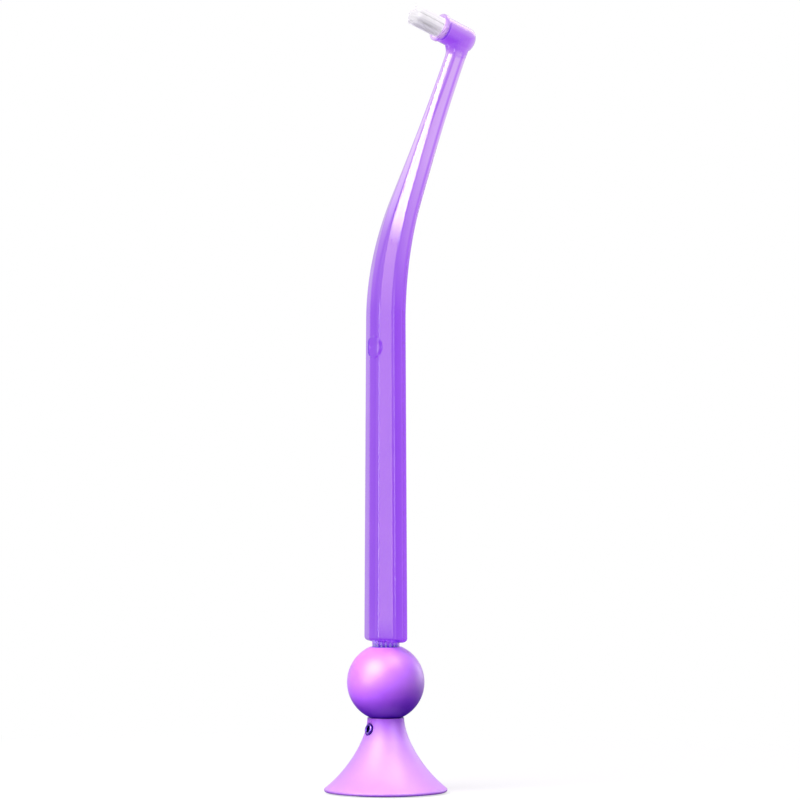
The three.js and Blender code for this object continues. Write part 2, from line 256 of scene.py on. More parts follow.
# Turned or plated metal with a fine uneven sheen
def turnedMetal(name, look):
    material, sheet = newMaterial(name)
    where = objectWhere(sheet)
    grain = sheet.noise(where, scale=look["grainScale"], detail=5.0, roughness=0.65)
    cloud = sheet.noise(where, scale=700.0, detail=4.0)
    inputs = {
        "Base Color": sheet.blend(sheet.spread(cloud), look["dull"], look["bright"]),
        "Metallic": 1.0,
        "Roughness": sheet.spread(grain, look["smooth"], look["rough"]),
        "Normal": sheet.bump(grain, look["grain"], look["grainDepth"]),
    }
    finishMaterial(sheet, inputs)
    return material


# Plain moulded plastic with a fine matt grain
def matPlastic(name, look):
    material, sheet = newMaterial(name)
    where = objectWhere(sheet)
    grain = sheet.noise(where, scale=3800.0, detail=2.0)
    cloud = sheet.noise(where, scale=240.0, detail=4.0)
    inputs = {
        "Base Color": sheet.blend(sheet.spread(cloud), look["deep"], look["pale"]),
        "Roughness": sheet.spread(cloud, look["smooth"], look["rough"]),
        "Normal": sheet.bump(grain, look["grain"], look["grainDepth"]),
    }
    finishMaterial(sheet, inputs)
    return material


# Mesh helpers; an angle in degrees is the least that stays a sharp edge
def tidyMesh(mesh, angle=35):
    work = bmesh.new()
    work.from_mesh(mesh)
    bmesh.ops.remove_doubles(work, verts=work.verts, dist=mergeDistance)
    bmesh.ops.recalc_face_normals(work, faces=work.faces)
    work.to_mesh(mesh)
    work.free()
    mesh.shade_smooth()
    mesh.set_sharp_from_angle(angle=math.radians(angle))


def placed(name, mesh):
    obj = bpy.data.objects.new(name, mesh)
    scene.collection.objects.link(obj)
    return obj


def meshObject(name, points, faces):
    mesh = bpy.data.meshes.new(name)
    mesh.from_pydata([Vector(p) * mm for p in points], [], faces)
    tidyMesh(mesh)
    return placed(name, mesh)


def bake(obj):
    graph = bpy.context.evaluated_depsgraph_get()
    mesh = bpy.data.meshes.new_from_object(obj.evaluated_get(graph))
    obj.modifiers.clear()
    old = obj.data
    obj.data = mesh
    bpy.data.meshes.remove(old)


def wear(obj, material):
    obj.data.materials.clear()
    obj.data.materials.append(material)
    obj.data.polygons.foreach_set("material_index", [0] * len(obj.data.polygons))


def carve(obj, tool, operation):
    step = obj.modifiers.new(operation.lower(), "BOOLEAN")
    step.operation = operation
    step.solver = "EXACT"
    step.object = tool
    bake(obj)
    bpy.data.objects.remove(tool)


# Tree inputs come as names with a kind; the first output is always the geometry
def openTree(name, given):
    tree = bpy.data.node_groups.new(name, "GeometryNodeTree")
    tree.interface.new_socket("Geometry", in_out="OUTPUT", socket_type="NodeSocketGeometry")
    for title, kind in given.items():
        tree.interface.new_socket(title, in_out="INPUT", socket_type="NodeSocket" + kind)
    sheet = Sheet(tree)
    return tree, sheet, sheet.put("NodeGroupInput")


def closeTree(sheet, geometry, given):
    inputs = {"Geometry": geometry, "Material": given.other("Material")}
    dressed = sheet.put("GeometryNodeSetMaterial", inputs=inputs)
    sheet.put("NodeGroupOutput", inputs={"Geometry": dressed})


# Rule of a turned piece: each row of a grid takes a point of the outline round the axis
def turningTree():
    kinds = {"Outline": "Geometry", "Sides": "Int", "Wrap": "Int", "Material": "Material"}
    tree, sheet, given = openTree("turned_outline", kinds)
    outline = given.other("Outline")
    count = sheet.put("GeometryNodeAttributeDomainSize", inputs={"Geometry": outline}, out="Point Count")
    steps = count + given.other("Wrap") - 1.0
    sizes = {"Size X": 1.0, "Size Y": 1.0}
    sizes.update({"Vertices X": given.other("Sides") + 1.0, "Vertices Y": steps + 1.0})
    grid = sheet.put("GeometryNodeMeshGrid", inputs=sizes)
    place = sheet.put("GeometryNodeInputPosition")
    parts = sheet.split(place)
    turn = (parts.other("X") + 0.5) * (2 * math.pi)
    row = ((parts.other("Y") + 0.5) * steps).maths("ROUND") % count
    settings = {"data_type": "FLOAT_VECTOR", "domain": "POINT"}
    inputs = {"Geometry": outline, "Value": place, "Index": row}
    along = sheet.split(sheet.put("GeometryNodeSampleIndex", settings, inputs))
    radius = along.other("X")
    spot = sheet.join(X=radius * turn.maths("COSINE"), Y=radius * turn.maths("SINE"), Z=along.other("Z"))
    moved = sheet.put("GeometryNodeSetPosition", inputs={"Geometry": grid, "Position": spot})
    inputs = {"Geometry": moved, "Distance": mergeDistance}
    closeTree(sheet, sheet.put("GeometryNodeMergeByDistance", inputs=inputs), given)
    return tree


def grownBy(obj, tree, values):
    step = obj.modifiers.new("rule", "NODES")
    step.node_group = tree
    for item in tree.interface.items_tree:
        if item.in_out == "INPUT" and item.name in values:
            step[item.identifier] = values[item.name]
    bake(obj)


turning = turningTree()


def turned(name, outline, sides, matrix=Matrix(), wrap=0, angle=35):
    mesh = bpy.data.meshes.new(name)
    mesh.from_pydata([(r * mm, 0, z * mm) for r, z in outline], [], [])
    obj = placed(name, mesh)
    grownBy(obj, turning, {"Sides": sides, "Wrap": wrap})
    obj.data.transform(matrix)
    tidyMesh(obj.data, angle)
    return obj


def skin(rings):
    count = len(rings[0])
    points = [p for ring in rings for p in ring]
    faces = []
    for row in range(len(rings) - 1):
        low, high = row * count, (row + 1) * count
        for i in range(count):
            k = (i + 1) % count
            faces.append((low + i, low + k, high + k, high + i))
    for ring, first in ((rings[0], 0), (rings[-1], (len(rings) - 1) * count)):
        points.append(sum((Vector(p) for p in ring), Vector()) / count)
        for i in range(count):
            faces.append((first + i, first + (i + 1) % count, len(points) - 1))
    return points, faces


def arc(centreR, centreZ, radius, fromTurn, toTurn, steps):
    turns = [fromTurn + (toTurn - fromTurn) * i / steps for i in range(steps + 1)]
    return [(centreR + radius * math.cos(t), centreZ + radius * math.sin(t)) for t in turns]


def mix(low, high, share):
    return low + (high - low) * share


def clamp(value):
    return min(max(value, 0.0), 1.0)


def smooth(value, low, high):
    share = clamp((value - low) / (high - low))
    return share * share * (3 - 2 * share)


def eightSides(thick, width, frontFlat, sideFlat):
    t, w, f, s = thick / 2, width / 2, frontFlat / 2, sideFlat / 2
    return [(-t, f), (-t, -f), (-s, -w), (s, -w), (t, -f), (t, f), (s, w), (-s, w)]


def grow(outline, distance):
    corners = [Vector(p) for p in outline]
    grown = []
    for i, p in enumerate(corners):
        before = (p - corners[i - 1]).normalized()
        after = (corners[(i + 1) % len(corners)] - p).normalized()
        first = Vector((before.y, -before.x))
        second = Vector((after.y, -after.x))
        grown.append(p + (first + second) * (distance / (1 + first.dot(second))))
    return grown


# Rounds each corner with a short curve, and holds each flat flat with two points near its ends
rounding = dict(steps=6, mostOfSide=0.42, hold=0.12)


def rounded(outline, radius):
    corners = [Vector(p) for p in outline]
    ends = []
    for i, p in enumerate(corners):
        before = corners[i - 1] - p
        after = corners[(i + 1) % len(corners)] - p
        a = p + before * min(radius / before.length, rounding["mostOfSide"])
        c = p + after * min(radius / after.length, rounding["mostOfSide"])
        curve = []
        for j in range(rounding["steps"] + 1):
            u = j / rounding["steps"]
            curve.append(a * (1 - u) ** 2 + p * (2 * u * (1 - u)) + c * u * u)
        ends.append(curve)
    ring = []
    for i, curve in enumerate(ends):
        following = ends[(i + 1) % len(ends)][0]
        ring += curve
        ring += [curve[-1].lerp(following, share) for share in (rounding["hold"], 1 - rounding["hold"])]
    return ring


# Handle: a straight eight-sided grip, a bend and a slim neck that spreads under the head
grip = dict(bottom=36.3, widthLow=14.4, widthHigh=12.8, thickLow=6.8, thickHigh=6.3)
grip.update(frontFlat=4.4, sideFlat=3.5, endRound=1.1, edgeRound=0.4)
neck = dict(width=3.8, thick=5, frontFlat=1.3, sideFlat=3.3, edgeRound=0.5)
bend = dict(start=112.9, radius=79, turn=math.radians(21.8), headAlong=42.7, taperStart=114, taperEnd=36)
web = dict(rise=4.4, reach=2.6, widen=0.35, below=1.1)
rows = dict(end=12, grip=12, bend=150, web=22)
gripLength = bend["start"] - grip["bottom"]
bendLength = bend["radius"] * bend["turn"]
headAlong = gripLength + bendLength + bend["headAlong"]
taperFrom = bend["taperStart"] - grip["bottom"]
taperTo = gripLength + bendLength + bend["taperEnd"]
webTo = headAlong - web["below"]


def middleLine(along):
    turn = min(max((along - gripLength) / bend["radius"], 0), bend["turn"])
    beyond = max(along - gripLength - bendLength, 0)
    x = bend["radius"] * (1 - math.cos(turn)) + beyond * math.sin(turn)
    z = grip["bottom"] + min(along, gripLength) + bend["radius"] * math.sin(turn) + beyond * math.cos(turn)
    return Vector((x, 0, z)), Vector((math.cos(turn), 0, -math.sin(turn)))


def handleSizes(along):
    low = clamp(along / taperFrom)
    slim = smooth(along, taperFrom, taperTo)
    thick = mix(mix(grip["thickLow"], grip["thickHigh"], low), neck["thick"], slim)
    width = mix(mix(grip["widthLow"], grip["widthHigh"], low), neck["width"], slim)
    frontFlat = mix(grip["frontFlat"], neck["frontFlat"], slim)
    sideFlat = mix(grip["sideFlat"], neck["sideFlat"], slim)
    return thick, width, frontFlat, sideFlat, mix(grip["edgeRound"], neck["edgeRound"], slim)


def handleRing(along, outward=0):
    *sides, edgeRound = handleSizes(along)
    spread = clamp(1 - (webTo - along) / web["rise"]) ** 2
    outline = []
    for x, y in grow(eightSides(*sides), outward):
        outline.append((x - web["reach"] * spread if x < 0 else x, y * (1 + web["widen"] * spread)))
    point, back = middleLine(along)
    return [point + back * p.x + Vector((0, p.y, 0)) for p in rounded(outline, edgeRound)]


def handleBar():
    rings = []
    for i in range(rows["end"]):
        turn = math.pi / 2 * i / rows["end"]
        inset = grip["endRound"] * (1 - math.sin(turn))
        rings.append(handleRing(grip["endRound"] * (1 - math.cos(turn)), -inset))
    webFrom = webTo - web["rise"]
    spans = [(grip["endRound"], taperFrom, rows["grip"])]
    spans += [(taperFrom, webFrom, rows["bend"]), (webFrom, webTo, rows["web"])]
    for low, high, count in spans:
        rings += [handleRing(mix(low, high, i / count)) for i in range(count)]
    rings.append(handleRing(webTo))
    return meshObject("handle_body", *skin(rings))


# Head: a short barrel with a lip, square to the neck; its fillet is given out from the barrel and up
head = dict(radius=3.2, front=7.2, back=2.85, backRound=1.9, lipRadius=3.5, lip=1.1, lipRound=0.3)
head.update(fillet=[(0, -0.8), (0, -0.35), (0.04, -0.14)], filletEnd=0.1, lipTurn=-1.2)
head.update(hole=2.745, holeDepth=2.0, holeEdge=0.15, cutPast=1, sides=96)
headPoint, headBack = middleLine(headAlong)
headMatrix = Matrix((
    (0, headBack.z, -headBack.x, headPoint.x * mm),
    (1, 0, 0, headPoint.y * mm),
    (0, -headBack.x, -headBack.z, headPoint.z * mm),
    (0, 0, 0, 1),
))


def headBarrel():
    lipFoot = head["front"] - head["lip"]
    backCentre = head["radius"] - head["backRound"]
    lipCentre = head["lipRadius"] - head["lipRound"]
    quarter = math.pi / 2
    outline = [(0, -head["back"])]
    outline += arc(backCentre, head["backRound"] - head["back"], head["backRound"], -quarter, 0, steps=14)
    outline += [(head["radius"], 0)]
    outline += [(head["radius"] + r, lipFoot + z) for r, z in head["fillet"]]
    outline += [(lipCentre + head["filletEnd"], lipFoot)]
    outline += arc(lipCentre, lipFoot + head["lipRound"], head["lipRound"], head["lipTurn"], 0, steps=5)
    outline += arc(lipCentre, head["front"] - head["lipRound"], head["lipRound"], 0, quarter, steps=8)
    outline += [(head["hole"] + head["holeEdge"], head["front"]), (0, head["front"])]
    return turned("barrel", outline, head["sides"], headMatrix)


def headHole():
    front, past = head["front"], head["front"] + head["cutPast"]
    bottom = front - head["holeDepth"]
    mouth = head["hole"] + head["holeEdge"]
    outline = [(0, bottom), (head["hole"], bottom), (head["hole"], front - head["holeEdge"])]
    outline += [(mouth, front), (mouth, past), (0, past)]
    return turned("tuft_hole", outline, head["sides"], headMatrix)


# Thumb boss: a plain oval pad on the front of the grip, with a shallow dish
boss = dict(z=107, height=5.4, width=6.4, proud=0.45, dish=0.14, dishFrom=0.02, dishOut=0.84, dishSteps=14)
boss.update(rim=0.86, rimTurns=(0.3, 0.6, 0.9, 1.2, 1.5), rimDrop=0.3, buried=0.6, core=0.5, sides=72)


def frontOfGrip(y, z):
    thick, width, frontFlat, sideFlat = handleSizes(z - grip["bottom"])[:4]
    beyond = max(abs(y) - frontFlat / 2, 0) / (width / 2 - frontFlat / 2)
    return -thick / 2 + beyond * (thick - sideFlat) / 2


def thumbBoss():
    profile = []
    for i in range(boss["dishSteps"] + 1):
        sunk = boss["dish"] * (1 - (i / boss["dishSteps"]) ** 2) ** 2
        profile.append((boss["dishFrom"] + boss["dishOut"] * i / boss["dishSteps"], boss["proud"] - sunk))
    for turn in boss["rimTurns"]:
        drop = boss["rimDrop"] * (1 - math.cos(turn))
        profile.append((boss["rim"] + (1 - boss["rim"]) * math.sin(turn), boss["proud"] - drop))
    profile += [(1.0, -boss["buried"]), (boss["core"], -boss["buried"])]
    rings = []
    for share, high in profile:
        ring = []
        for i in range(boss["sides"]):
            turn = 2 * math.pi * i / boss["sides"]
            y = share * boss["width"] / 2 * math.cos(turn)
            z = boss["z"] + share * boss["height"] / 2 * math.sin(turn)
            ring.append((frontOfGrip(y, z) - high, y, z))
        rings.append(ring)
    return meshObject("boss", *skin(rings))


# Stub: the round foot of the handle that goes down into the ball, with ribs round it
stub = dict(radius=3.1, length=12, chamfer=0.5, buried=0.6, sides=72)
stub.update(ribs=18, ribHigh=0.25, ribRadius=0.3, ribBuried=0.4, ribSides=12)
stubBottom = grip["bottom"] - stub["length"]
stubReach = stub["radius"] + stub["ribHigh"]


def stubBar():
    top = grip["bottom"] + stub["buried"]
    outline = [(0, stubBottom), (stub["radius"] - stub["chamfer"], stubBottom)]
    outline += [(stub["radius"], stubBottom + stub["chamfer"]), (stub["radius"], top), (0, top)]
    return turned("stub", outline, stub["sides"])


def ribTree():
    kinds = {"Count": "Int", "Ring Radius": "Float", "Rib Radius": "Float", "Rib Length": "Float"}
    kinds.update({"Middle": "Float", "Material": "Material"})
    tree, sheet, given = openTree("ribs_round_stub", kinds)
    inputs = {"Resolution": given.other("Count"), "Radius": given.other("Ring Radius")}
    ring = sheet.put("GeometryNodeCurvePrimitiveCircle", inputs=inputs)
    inputs = {"Vertices": stub["ribSides"], "Radius": given.other("Rib Radius")}
    inputs.update({"Depth": given.other("Rib Length")})
    rib = sheet.put("GeometryNodeMeshCylinder", inputs=inputs)
    ribs = sheet.put("GeometryNodeInstanceOnPoints", inputs={"Points": ring, "Instance": rib})
    inputs = {"Geometry": ribs, "Offset": sheet.join(Z=given.other("Middle"))}
    raised = sheet.put("GeometryNodeSetPosition", inputs=inputs)
    closeTree(sheet, sheet.put("GeometryNodeRealizeInstances", inputs={"Geometry": raised}), given)
    return tree


def stubRibs(material):
    obj = placed("stub_ribs", bpy.data.meshes.new("stub_ribs"))
    low = stubBottom + stub["chamfer"]
    high = grip["bottom"] + stub["ribBuried"]
    sizes = {"Ring Radius": stubReach - stub["ribRadius"], "Rib Radius": stub["ribRadius"]}
    sizes.update({"Rib Length": high - low, "Middle": (high + low) / 2})
    values = {name: size * mm for name, size in sizes.items()}
    values.update({"Count": stub["ribs"], "Material": material})
    grownBy(obj, ribTree(), values)
    tidyMesh(obj.data)
    return obj


# Zones of the plastic lie behind the middle line, or along it for the last four
plastic = dict(tintLow=(0.39, 0.105, 0.9, 1), tintHigh=(0.42, 0.12, 0.91, 1))
# The thin tint is painted light, and the deep tint is painted shade on the stub near the ball
plastic.update(tintThin=(0.78, 0.55, 0.96, 1), tintDeep=(0.17, 0.02, 0.66, 1))
plastic.update(depthColour=(0.533, 0.0, 0.92, 1), depth=75.0, bending=1.01)
plastic.update(clear=0.08, hazy=0.13, frost=0.3, ripple=0.006, rippleDepth=0.0002)
plastic.update(coat=0.95, coatRough=0.03, shine=1.5)
plastic.update(edgeFade=0.6, edgePale=0.6, domePale=0.8, crownPale=0.9)
zones = dict(core=(0.2, 0.7), skin=(0.9, 1.3), lip=(-5.2, -5.8), dome=(0.6, 2.6), stub=(-0.3, -1.0))
zones.update(neckFrom=(gripLength + 2, gripLength + bendLength + 12))
zones.update(headFrom=(headAlong - 4.4, headAlong - 3.4), crown=(headAlong, headAlong + 1.7))
plastic.update({name: [end * mm for end in ends] for name, ends in zones.items()})
plasticMaterial = clearPlastic("clear_purple_plastic", plastic)
# The ribs wear a paler copy of the plastic: partly offsetting the tint taken again where they overlap the
# stub, partly painted highlight on the ribs
ribPlastic = dict(plastic, tintLow=(0.78, 0.58, 0.97, 1), tintHigh=(0.82, 0.64, 0.98, 1), shine=2.2)
edgeMark = dict(top=1.2, width=0.3)


# Where the plastic's tint carries painted light and shade: how far back and along each point lies, and how
# near a long edge
def markHandle(mesh):
    marks = {"rear": [], "along": [], "edge": []}
    for vertex in mesh.vertices:
        point = vertex.co / mm
        turn = math.atan2(point.z - bend["start"], bend["radius"] - point.x)
        turn = min(max(turn, 0), bend["turn"])
        middle, back = middleLine(gripLength + bend["radius"] * turn)
        rear = (point - middle).dot(back)
        along = gripLength + bend["radius"] * turn + (point - middle).dot(Vector((-back.z, 0, back.x)))
        corners = eightSides(*handleSizes(along)[:4])
        near = min(math.hypot(rear - x, point.y - y) for x, y in corners)
        onBar = grip["endRound"] < along < headAlong - web["rise"]
        marks["rear"].append(rear * mm)
        marks["along"].append(along * mm)
        marks["edge"].append(clamp(edgeMark["top"] - near / edgeMark["width"]) if onBar else 0.0)
    for name, values in marks.items():
        mesh.attributes.new(name, "FLOAT", "POINT").data.foreach_set("value", values)


handle = handleBar()
for tool in (headBarrel(), thumbBoss(), stubBar()):
    carve(handle, tool, "UNION")
carve(handle, headHole(), "DIFFERENCE")
tidyMesh(handle.data, angle=38)
markHandle(handle.data)
wear(handle, plasticMaterial)
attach(handle, "brush")
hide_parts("handle")
ribs = stubRibs(clearPlastic("clear_rib_plastic", ribPlastic))
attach(ribs, "brush")
print("handle", len(handle.data.polygons), "faces, ribs", len(ribs.data.polygons))


# Tuft: strands set close on a disc, leaning out a little, their tips on a dome
tuft = dict(radius=2.36, strand=0.12, tip=0.08, spacing=0.26, out=8.6, dome=1.1, wave=0.16, melt=0.7)
tuft.update(lean=0.016, uneven=0.012, swirl=500.0, mostDense=9e8, seed=7)
tuft.update(discSides=64, strandSides=7, strandRows=8, buttonSides=48)
tuftLook = dict(shade=(0.76, 0.76, 0.76, 1), white=(0.88, 0.88, 0.87, 1), smooth=0.32, rough=0.5)
tuftLook.update(subsurface=0.6, reach=(0.5, 0.5, 0.5), grain=0.1, grainDepth=0.00002)


def tuftTree():
    names = ["Tuft Radius", "Spacing", "Strand Radius", "Tip Radius", "Length"]
    names += ["Dome", "Lean", "Wave", "Melt"]
    kinds = {name: "Float" for name in names}
    kinds.update({"Seed": "Int", "Material": "Material"})
    tree, sheet, given = openTree("round_tuft", kinds)
    radius, length, seed, melt = (given.other(name) for name in ("Tuft Radius", "Length", "Seed", "Melt"))
    inputs = {"Vertices": tuft["discSides"], "Radius": radius}
    disc = sheet.put("GeometryNodeMeshCircle", {"fill_type": "NGON"}, inputs)
    inputs = {"Mesh": disc, "Distance Min": given.other("Spacing")}
    inputs.update({"Density Max": tuft["mostDense"], "Seed": seed})
    roots = sheet.put("GeometryNodeDistributePointsOnFaces", {"distribute_method": "POISSON"}, inputs)
    inputs = {"Vertices": tuft["strandSides"], "Side Segments": tuft["strandRows"], "Depth": length}
    inputs.update({"Radius Top": given.other("Tip Radius"), "Radius Bottom": given.other("Strand Radius")})
    strand = sheet.put("GeometryNodeMeshCone", inputs=inputs)
    place = sheet.put("GeometryNodeInputPosition")
    parts = sheet.split(place)
    x, y = parts.other("X"), parts.other("Y")
    outward = (x * x + y * y) / (radius * radius)
    inputs = {2: 0.0, 3: 1.0, "Seed": seed}
    chance = sheet.put("FunctionNodeRandomValue", {"data_type": "FLOAT"}, inputs, out=1)
    tall = 1.0 - outward * given.other("Dome") / length - chance * tuft["uneven"]
    lean = given.other("Lean") / radius
    way = sheet.join(X=x * lean, Y=y * lean, Z=1.0)
    turn = sheet.put("FunctionNodeAlignRotationToVector", {"axis": "Z"}, {"Vector": way})
    inputs = {"Points": roots, "Instance": strand, "Rotation": turn}
    inputs.update({"Scale": sheet.join(X=1.0, Y=1.0, Z=tall)})
    strands = sheet.put("GeometryNodeInstanceOnPoints", inputs=inputs)
    settings = {"data_type": "FLOAT", "domain": "INSTANCE"}
    inputs = {"Geometry": strands, "Name": "tone", "Value": chance}
    toned = sheet.put("GeometryNodeStoreNamedAttribute", settings, inputs)
    real = sheet.put("GeometryNodeRealizeInstances", inputs={"Geometry": toned})
    inputs = {"Vector": place, "Scale": tuft["swirl"], "Detail": 1.0}
    swirl = sheet.put("ShaderNodeTexNoise", inputs=inputs, out="Color")
    centred = sheet.put("ShaderNodeVectorMath", {"operation": "SUBTRACT"}, {0: swirl, 1: (0.5, 0.5, 0.5)})
    share = (parts.other("Z") / length) ** 2.0 * given.other("Wave")
    offset = sheet.put("ShaderNodeVectorMath", {"operation": "SCALE"}, {0: centred, "Scale": share})
    waved = sheet.put("GeometryNodeSetPosition", inputs={"Geometry": real, "Offset": offset})
    inputs = {"Vertices": tuft["buttonSides"], "Radius": radius + given.other("Strand Radius"), "Depth": melt}
    button = sheet.put("GeometryNodeMeshCylinder", inputs=inputs)
    inputs = {"Geometry": button, "Offset": sheet.join(Z=melt * 0.5)}
    seated = sheet.put("GeometryNodeSetPosition", inputs=inputs)
    both = sheet.put("GeometryNodeJoinGeometry", inputs={"Geometry": waved})
    tree.links.new(seated.socket, both.socket.node.inputs[0])
    closeTree(sheet, both, given)
    return tree


def makeTuft(material):
    obj = placed("tuft", bpy.data.meshes.new("tuft"))
    bottom = head["front"] - head["holeDepth"] + gap
    length = head["front"] + tuft["out"] - bottom
    sizes = {"Tuft Radius": tuft["radius"], "Spacing": tuft["spacing"], "Strand Radius": tuft["strand"]}
    sizes.update({"Tip Radius": tuft["tip"], "Length": length, "Dome": tuft["dome"]})
    sizes.update({"Wave": tuft["wave"], "Melt": tuft["melt"]})
    values = {name: size * mm for name, size in sizes.items()}
    values.update({"Lean": tuft["lean"], "Seed": tuft["seed"], "Material": material})
    grownBy(obj, tuftTree(), values)
    obj.data.transform(headMatrix @ Matrix.Translation((0, 0, bottom * mm)))
    tidyMesh(obj.data, angle=50)
    return obj


strands = makeTuft(nylon(tuftLook))
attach(strands, "brush")
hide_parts("bristle_tuft")
print("tuft", len(strands.data.polygons), "faces")


# Ball: a sphere with the mouth for the stub, the pocket for the core and the bore for its spindle
ball = dict(radius=9.3, z=26.6, spindle=2.6, clearance=0.2, lip=0.3, rim=[(-0.12, 0), (-0.22, -0.06)])
ball.update(coreBelow=2.9, coreWall=1.2, coreFloor=1.6, steps=110, sides=160)
socketRadius = stubReach + ball["clearance"]
spindleBore = ball["spindle"] + gap
coreTop = ball["z"] + ball["radius"] - ball["coreBelow"]
coreBottom = stubBottom - gap - ball["coreFloor"]


def makeBall():
    mouth = socketRadius + ball["lip"]
    pocket = socketRadius + ball["coreWall"] + gap
    boreTurn = math.acos(spindleBore / ball["radius"])
    rimTurn = math.acos(mouth / ball["radius"])
    rimZ = ball["z"] + ball["radius"] * math.sin(rimTurn)
    outline = arc(0, ball["z"], ball["radius"], -boreTurn, rimTurn, ball["steps"])
    outline += [(mouth + r, rimZ + z) for r, z in ball["rim"]] + [(socketRadius, rimZ - ball["lip"])]
    outline += [(socketRadius, coreTop + gap), (pocket, coreTop + gap), (pocket, coreBottom - gap)]
    outline += [(spindleBore, coreBottom - gap)]
    return turned("stand_ball_skin", outline, ball["sides"], wrap=1, angle=40)


# Foot: a stem that flares to a round rim, with a dish for the ball and an eyelet in the stem
foot = dict(radius=14.8, rimLift=0.3, rimRound=0.5, lean=1.26, top=4.42, stemPull=4.4, flarePull=4.9)
foot.update(steps=64, sides=160)
under = dict(pad=11.8, padTop=1.3, weight=8.0, weightTop=4.8, screw=0.95, spindleBottom=7.3)
seat = ball["radius"] + gap
stemTop = ball["z"] - math.sqrt(seat ** 2 - foot["top"] ** 2)
flareTurn = math.atan(foot["lean"])


def footSide():
    rimRound = foot["rimRound"]
    rimR = foot["radius"] - rimRound
    rimZ = foot["rimLift"] + rimRound
    end = Vector((rimR + rimRound * math.cos(flareTurn), rimZ + rimRound * math.sin(flareTurn)))
    knots = [Vector((foot["top"], stemTop)), Vector((foot["top"], stemTop - foot["stemPull"]))]
    knots += [end + Vector((-foot["lean"] * foot["flarePull"], foot["flarePull"])), end]
    side = []
    for i in range(foot["steps"] + 1):
        u = i / foot["steps"]
        weights = ((1 - u) ** 3, 3 * u * (1 - u) ** 2, 3 * u * u * (1 - u), u ** 3)
        side.append(tuple(sum((k * w for k, w in zip(knots, weights)), Vector((0, 0)))))
    return side + arc(rimR, rimZ, rimRound, flareTurn, -math.pi / 2, steps=10)[1:]


def makeFoot():
    dishFrom = math.acos(spindleBore / seat)
    dishTo = math.acos(foot["top"] / seat)
    outline = arc(0, ball["z"], seat, -dishFrom, -dishTo, steps=8)[:-1]
    outline += footSide()
    padR, padZ = under["pad"] + gap, under["padTop"] + gap
    weightR, weightZ = under["weight"] + gap, under["weightTop"] + gap
    screwR, spindleZ = under["screw"] + gap, under["spindleBottom"] - gap
    outline += [(padR, foot["rimLift"]), (padR, padZ), (weightR, padZ), (weightR, weightZ), (screwR, weightZ)]
    outline += [(screwR, spindleZ), (spindleBore, spindleZ)]
    obj = turned("stand_foot_skin", outline, foot["sides"], wrap=1)
    ways = [(eyelet["flange"] + gap, eyelet["reach"] - eyelet["thick"])]
    ways += [(eyelet["tube"] + gap, eyelet["wayFrom"])]
    for radius, low in ways:
        way = [(0, low), (radius, low), (radius, eyelet["wayTo"]), (0, eyelet["wayTo"])]
        carve(obj, turned("eyelet_way", way, eyelet["sides"], stemMatrix), "DIFFERENCE")
    tidyMesh(obj.data, angle=30)
    return obj


# Eyelet: a flanged ring set into the stem, tilted so that it drains
eyelet = dict(below=3.2, tilt=math.radians(14), bore=0.75, tube=1.05, flange=1.35, thick=0.4)
eyelet.update(proud=0.3, reach=4.95, wayFrom=2.0, wayTo=12, sides=64)
eyeletLift = stemTop - eyelet["below"] - ball["spindle"] * math.sin(eyelet["tilt"])
stemTurn = Matrix.Rotation(-math.pi / 2 + eyelet["tilt"], 4, "Y")
stemMatrix = Matrix.Translation((0, 0, eyeletLift * mm)) @ stemTurn


def makeEyelet():
    start = ball["spindle"] + 2 * gap
    face = eyelet["reach"] + eyelet["proud"]
    edge = eyelet["thick"] / 2
    outline = [(eyelet["bore"], start), (eyelet["tube"], start), (eyelet["tube"], face - 2 * edge)]
    outline += arc(eyelet["flange"] - edge, face - edge, edge, -math.pi / 2, math.pi / 2, steps=12)
    outline += arc(eyelet["bore"] + edge, face - edge, edge, math.pi / 2, math.pi, steps=8)
    return turned("eyelet_ring", outline, eyelet["sides"], stemMatrix, wrap=1, angle=45)


# Looks of the stand; a rise runs from the height with the deeper tone to the height without it. The deeper
# tone is painted shade: under the ball, and on the foot's top where the ball shades it
soft = dict(subsurface=0.3, reach=(1.2, 0.6, 2.0), smooth=0.36, rough=0.46, bending=1.62)
soft.update(coat=0.9, coatRough=0.5, shine=1.75, grain=0.3, grainDepth=0.00003, grainRough=0.12)
ballLook = dict(soft, deep=(0.5, 0.12, 0.93, 1), pale=(0.54, 0.14, 0.95, 1))
# Painted shade: the ball turns deeper violet towards its underside
ballLook.update(under=(0.1, 0.0, 0.45, 1), rise=(0.0185, 0.0235))
footLook = dict(soft, deep=(0.64, 0.28, 0.95, 1), pale=(0.68, 0.305, 0.96, 1), coat=0.45)
# Painted shadow: the foot's top turns deeper just under the ball
footLook.update(under=(0.44, 0.08, 0.86, 1), rise=(0.0188, 0.0125))
chrome = dict(dull=(0.14, 0.05, 0.5, 1), bright=(0.34, 0.2, 0.78, 1), smooth=0.06, rough=0.2)
chrome.update(grainScale=1800.0, grain=0.08, grainDepth=0.00002)
steel = dict(dull=(0.24, 0.24, 0.26, 1), bright=(0.42, 0.42, 0.44, 1), smooth=0.28, rough=0.5)
steel.update(grainScale=2400.0, grain=0.3, grainDepth=0.00002)
coreLook = dict(deep=(0.12, 0.03, 0.5, 1), pale=(0.16, 0.05, 0.58, 1), smooth=0.42, rough=0.58)
coreLook.update(grain=0.25, grainDepth=0.00003)
padLook = dict(soft, deep=(0.4, 0.21, 0.6, 1), pale=(0.5, 0.28, 0.72, 1), smooth=0.7, rough=0.85)
padLook.update(subsurface=0.0, coat=0.0)

standPieces = [
    (makeBall(), "stand_ball", softMoulding("satin_purple", ballLook)),
    (makeFoot(), "stand_foot", softMoulding("satin_lilac", footLook)),
    (makeEyelet(), "drain_eyelet", turnedMetal("plated_metal", chrome)),
]
for obj, node, material in standPieces:
    wear(obj, material)
    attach(obj, "stand")
    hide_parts(node)
    print(node, len(obj.data.polygons), "faces")

